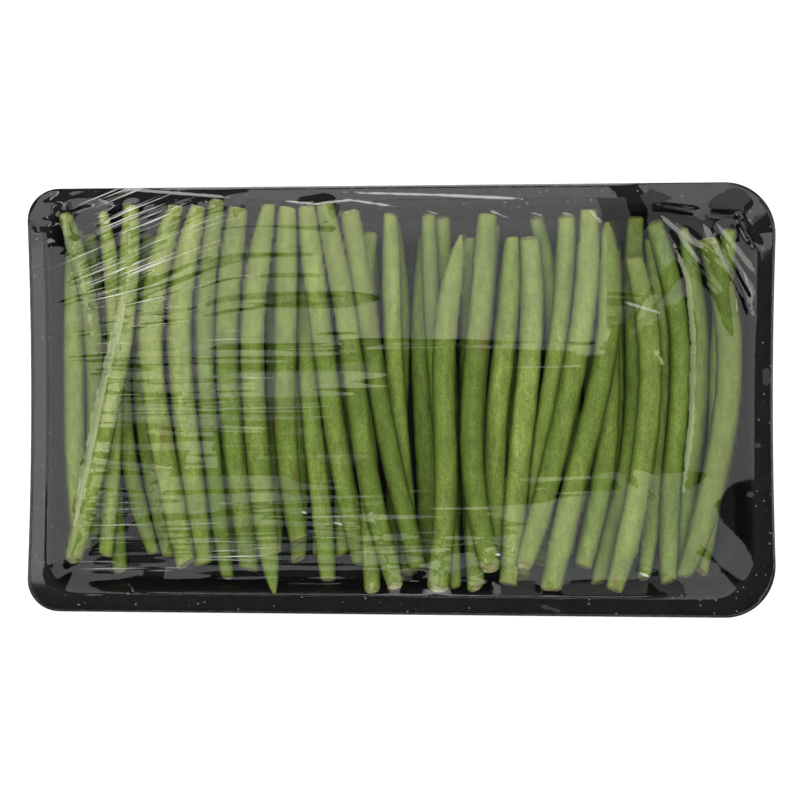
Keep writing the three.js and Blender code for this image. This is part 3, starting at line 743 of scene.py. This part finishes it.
def makeFilm(material):
    stepsX, stepsY = filmShape["stepsX"], filmShape["stepsY"]
    u, v = np.meshgrid(np.linspace(-1, 1, stepsX + 1), np.linspace(-1, 1, stepsY + 1))
    halfX, halfY = plan["length"] / 2 - filmShape["edgeInset"], plan["width"] / 2 - filmShape["edgeInset"]
    inset = filmShape["edgeInset"] + np.minimum(halfX * (1 - np.abs(u)), halfY * (1 - np.abs(v)))
    x, y = planPoints(u * halfX, v * halfY, inset)
    # the trapped air, the beans and the lip hold it up
    endX, endY = filmShape["crownEnds"]
    crown = filmShape["crown"] - filmShape["crownFall"] * y ** 2
    crown = crown - filmShape["crownDrop"] * ((x / endX) ** 8 + (y / endY) ** 8)
    pods = podHeights(x, y)
    support = np.maximum(pods, crown)
    support = np.where(inset < filmShape["lipInset"], np.maximum(support, filmShape["lipHeight"]), support)
    clings = (inset < filmShape["lipInset"]) & (y < filmShape["stuckTo"])
    z = pullTight(support, clings, 2 * halfX / stepsX, 2 * halfY / stepsY)
    # the nearer it is to a bean, the more wet shine it takes up
    touch = between(z - pods, *filmShape["touches"])
    touch = touch * (1 - filmShape["frontDull"] * between(-y, *filmShape["frontEnds"]))
    touch = np.maximum(touch, filmShape["lipTouch"] * between(inset, *filmShape["lipReach"]))
    z += stretchLines(x / mm, y / mm) * mm * between(inset, 0.5 * mm, 3 * mm)
    bm = bmesh.new()
    bmesh.ops.create_grid(bm, x_segments=stepsX, y_segments=stepsY, size=1)
    # each ring grown from the flat top stands for one of the sections
    growRings(bm, len(filmShape["sections"]))
    insets, heights = np.array([(filmShape["edgeInset"] / mm, 0)] + filmShape["sections"]).T * mm
    co = np.array([v.co for v in bm.verts])
    level = np.rint(-co[:, 2]).astype(int)
    ringInset = insets[level]
    ringX, ringY = planPoints(
        co[:, 0] * (plan["length"] / 2 - ringInset), co[:, 1] * (plan["width"] / 2 - ringInset), ringInset)
    column = np.rint((co[:, 0] + 1) / 2 * stepsX).astype(int)
    row = np.rint((co[:, 1] + 1) / 2 * stepsY).astype(int)
    onTop = level == 0
    place = np.array([
        np.where(onTop, x[row, column], ringX),
        np.where(onTop, y[row, column], ringY),
        np.where(onTop, z[row, column], heights[level]),
    ]).T
    overX, overY = place.T[:2] / mm
    # where the painted highlights lie, how white they are, and whether they take up a bean's green
    inside, white, green = highlightMarksAt(overX, overY)
    looks = {
        "drift": driftOf(overX, overY),
        "pull": pullOf(overX, overY),
        "hairs": hairHighlightsOf(overX, overY) * onTop,
        "inside": np.where(onTop, inside, -9),
        "white": white,
        "green": green,
        "touch": np.where(onTop, touch[row, column], filmShape["lipTouch"]),
    }
    for vertex, p in zip(bm.verts, place):
        vertex.co = p
    for name, values in looks.items():
        layer = bm.verts.layers.float.new(name)
        for vertex, value in zip(bm.verts, values):
            vertex[layer] = value
    bmesh.ops.recalc_face_normals(bm, faces=bm.faces)
    film = keepMesh("stretchFilm", bm, [material])
    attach(film, "root")
    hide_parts("stretch_film")


# Clear PVC stretch film: it mirrors 4% straight on, 6% on the lip, and all of it at a glance. Where it is
# close to a bean, the wet bean behind it mirrors too. Over this lies a pale diffuse layer of painted
# highlights.
def filmMaterial():
    material, tree = newMaterial("clearStretchFilm")
    # hair-thin stretch lines, 0.5 mm across and 20 mm long, along the pull
    texture = addNode(tree, "TexCoord")
    at = addNode(tree, "SeparateXYZ", {}, {0: texture.outputs["Object"]})
    drift = addNode(tree, "Attribute", {"attribute_name": "drift"})
    pull = addNode(tree, "Attribute", {"attribute_name": "pull"})
    across = addNode(tree, "Math", {"operation": "MULTIPLY", 1: 1.1}, {0: drift.outputs["Fac"]})
    along = addNode(tree, "Math", {"operation": "MULTIPLY", 1: 50}, {0: at.outputs[0]})
    place = addNode(tree, "CombineXYZ", {}, {0: across.outputs[0], 1: along.outputs[0]})
    lines = addNode(tree, "TexNoise", {"Scale": 1, "Detail": 3, "Roughness": 0.6},
                    {"Vector": place.outputs[0]})
    lines = addNode(tree, "MapRange", {"From Min": 0.56, "From Max": 0.8}, {"Value": lines.outputs[0]})
    lines = addNode(tree, "Math", {"operation": "MULTIPLY"}, {0: lines.outputs[0], 1: pull.outputs["Fac"]})
    bump = addNode(tree, "Bump", {"Strength": 1, "Distance": 0.008 * mm}, {"Height": lines.outputs[0]})
    facing = addNode(tree, "LayerWeight", {"Blend": 0.5}, {"Normal": bump.outputs[0]})
    grazing = addNode(tree, "Math", {"operation": "POWER", 1: 5}, {0: facing.outputs["Facing"]})
    # near a bean the mirroring is stronger, and warmed by the skin behind
    touch = addNode(tree, "Attribute", {"attribute_name": "touch"})
    warm = addNode(tree, "MapRange", {"From Min": filmShape["lipTouch"], "From Max": 0.8},
                   {"Value": touch.outputs["Fac"]})
    touch = addNode(tree, "Math", {"operation": "MULTIPLY_ADD", 1: 0.06, 2: 0.038}, {0: touch.outputs["Fac"]})
    mirror = addNode(tree, "MapRange", {"To Max": 1},
                     {"Value": grazing.outputs[0], "To Min": touch.outputs[0]})
    clear = addNode(tree, "BsdfTransparent", {"Color": linearColour("#fbfcfa")})
    shine = addNode(tree, "Mix", {
        "data_type": "RGBA", 6: linearColour("#ffffff"), 7: linearColour("#fffad8")}, {0: warm.outputs[0]})
    gloss = addNode(tree, "BsdfGlossy", {"Roughness": 0.03},
                    {"Color": shine.outputs[2], "Normal": bump.outputs[0]})
    film = addNode(tree, "MixShader", {}, {0: mirror.outputs[0], 1: clear.outputs[0], 2: gloss.outputs[0]})
    # painted highlights: white hair lines about 0.3 mm across and 30 mm long, standing in for glints on the
    # stretch lines
    hairs = addNode(tree, "Attribute", {"attribute_name": "hairs"})
    across = addNode(tree, "Math", {"operation": "MULTIPLY", 1: 1.3}, {0: drift.outputs["Fac"]})
    along = addNode(tree, "Math", {"operation": "MULTIPLY", 1: 32}, {0: at.outputs[0]})
    place = addNode(tree, "CombineXYZ", {2: 5.0}, {0: across.outputs[0], 1: along.outputs[0]})
    hairHighlight = addNode(tree, "TexNoise", {"Scale": 1, "Detail": 2, "Roughness": 0.5},
                     {"Vector": place.outputs[0]})
    hairHighlight = addNode(tree, "Math", {"operation": "MULTIPLY_ADD", 1: 0.14},
                     {0: hairs.outputs["Fac"], 2: hairHighlight.outputs[0]})
    hairHighlight = addNode(tree, "MapRange", {"From Min": 0.7, "From Max": 0.86}, {"Value": hairHighlight.outputs[0]})
    hairHighlight = addNode(tree, "Math", {"operation": "MULTIPLY"}, {0: hairHighlight.outputs[0], 1: hairs.outputs["Fac"]})
    # the painted highlight marks: on the beans their edge is ragged by 0.2 mm
    inside = addNode(tree, "Attribute", {"attribute_name": "inside"})
    ragged = addNode(tree, "TexNoise", {"Scale": 1100, "Detail": 3}, {"Vector": texture.outputs["Object"]})
    ragged = addNode(tree, "Math", {"operation": "SUBTRACT", 1: 0.5}, {0: ragged.outputs[0]})
    green = addNode(tree, "Attribute", {"attribute_name": "green"})
    wander = addNode(tree, "MapRange", {"To Min": 0.2, "To Max": 1}, {"Value": green.outputs["Fac"]})
    inside = addNode(tree, "Math", {"operation": "MULTIPLY_ADD"},
                     {0: ragged.outputs[0], 1: wander.outputs[0], 2: inside.outputs["Fac"]})
    inside = addNode(tree, "MapRange", {"From Min": -0.08, "From Max": 0.1}, {"Value": inside.outputs[0]})
    white = addNode(tree, "Attribute", {"attribute_name": "white"})
    white = addNode(tree, "Math", {"operation": "MULTIPLY"}, {0: inside.outputs[0], 1: white.outputs["Fac"]})
    white = addNode(tree, "Math", {"operation": "MAXIMUM"}, {0: white.outputs[0], 1: hairHighlight.outputs[0]})
    green = addNode(tree, "Math", {"operation": "MULTIPLY"}, {0: green.outputs["Fac"], 1: inside.outputs[0]})
    # painted highlights over a bean are tinted by its green
    highlightTint = addNode(tree, "Mix", {"data_type": "RGBA", 6: linearColour("#f2f2ea"), 7: linearColour("#cfd8a8")},
                   {0: green.outputs[0]})
    highlightLayer = addNode(tree, "BsdfDiffuse", {}, {"Color": highlightTint.outputs[2]})
    mix = addNode(tree, "MixShader", {}, {0: white.outputs[0], 1: film.outputs[0], 2: highlightLayer.outputs[0]})
    addNode(tree, "OutputMaterial", {}, {"Surface": mix.outputs[0]})
    return material


makeFilm(filmMaterial())
print("film drawn over")
